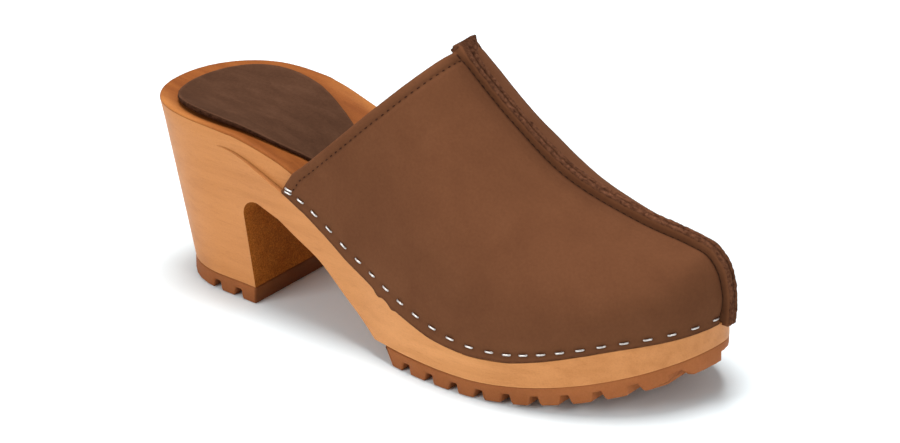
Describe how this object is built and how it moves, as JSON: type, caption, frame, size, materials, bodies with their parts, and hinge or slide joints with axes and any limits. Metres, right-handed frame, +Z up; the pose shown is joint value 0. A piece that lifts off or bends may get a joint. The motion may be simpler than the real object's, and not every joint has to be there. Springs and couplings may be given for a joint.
{
  "type": "heeled clog",
  "caption": "Right-foot mule clog: carved wooden platform sole with block heel, rubber treads, leather heel pad, and a stapled leather upper with a raised centre seam.",
  "frame": {"origin": "middle of the bounding box on the floor the clog stands on", "axes": "+X towards the toe, +Y towards the inner (medial) side of the foot, +Z up"},
  "size_m": [0.2442, 0.093, 0.1156],
  "materials": {
    "sole_wood": "clear satin",
    "tread_rubber": "matte gum",
    "upper_leather": "matte nubuck",
    "pad_leather": "oiled, satin",
    "staple_steel": "bright wire"
  },
  "bodies": {
    "root": {"wood_sole": "sole_wood", "forefoot_outsole": "tread_rubber", "heel_lift": "tread_rubber", "upper": "upper_leather", "heel_pad": "pad_leather", "staple_lateral_01": "staple_steel", "staple_lateral_02": "staple_steel", "staple_lateral_03": "staple_steel", "staple_lateral_04": "staple_steel", "staple_lateral_05": "staple_steel", "staple_lateral_06": "staple_steel", "staple_lateral_07": "staple_steel", "staple_lateral_08": "staple_steel", "staple_lateral_09": "staple_steel", "staple_lateral_10": "staple_steel", "staple_lateral_11": "staple_steel", "staple_lateral_12": "staple_steel", "staple_lateral_13": "staple_steel", "staple_lateral_14": "staple_steel", "staple_lateral_15": "staple_steel", "staple_lateral_16": "staple_steel", "staple_lateral_17": "staple_steel", "staple_lateral_18": "staple_steel", "staple_lateral_19": "staple_steel", "staple_lateral_20": "staple_steel", "staple_lateral_21": "staple_steel", "staple_lateral_22": "staple_steel", "staple_lateral_23": "staple_steel", "staple_lateral_24": "staple_steel", "staple_lateral_25": "staple_steel", "staple_lateral_26": "staple_steel", "staple_medial_01": "staple_steel", "staple_medial_02": "staple_steel", "staple_medial_03": "staple_steel", "staple_medial_04": "staple_steel", "staple_medial_05": "staple_steel", "staple_medial_06": "staple_steel", "staple_medial_07": "staple_steel", "staple_medial_08": "staple_steel", "staple_medial_09": "staple_steel", "staple_medial_10": "staple_steel", "staple_medial_11": "staple_steel", "staple_medial_12": "staple_steel", "staple_medial_13": "staple_steel", "staple_medial_14": "staple_steel", "staple_medial_15": "staple_steel", "staple_medial_16": "staple_steel", "staple_medial_17": "staple_steel", "staple_medial_18": "staple_steel", "staple_medial_19": "staple_steel", "staple_medial_20": "staple_steel", "staple_medial_21": "staple_steel", "staple_medial_22": "staple_steel", "staple_medial_23": "staple_steel", "staple_medial_24": "staple_steel", "staple_medial_25": "staple_steel", "staple_medial_26": "staple_steel"}
  },
  "joints": []
}
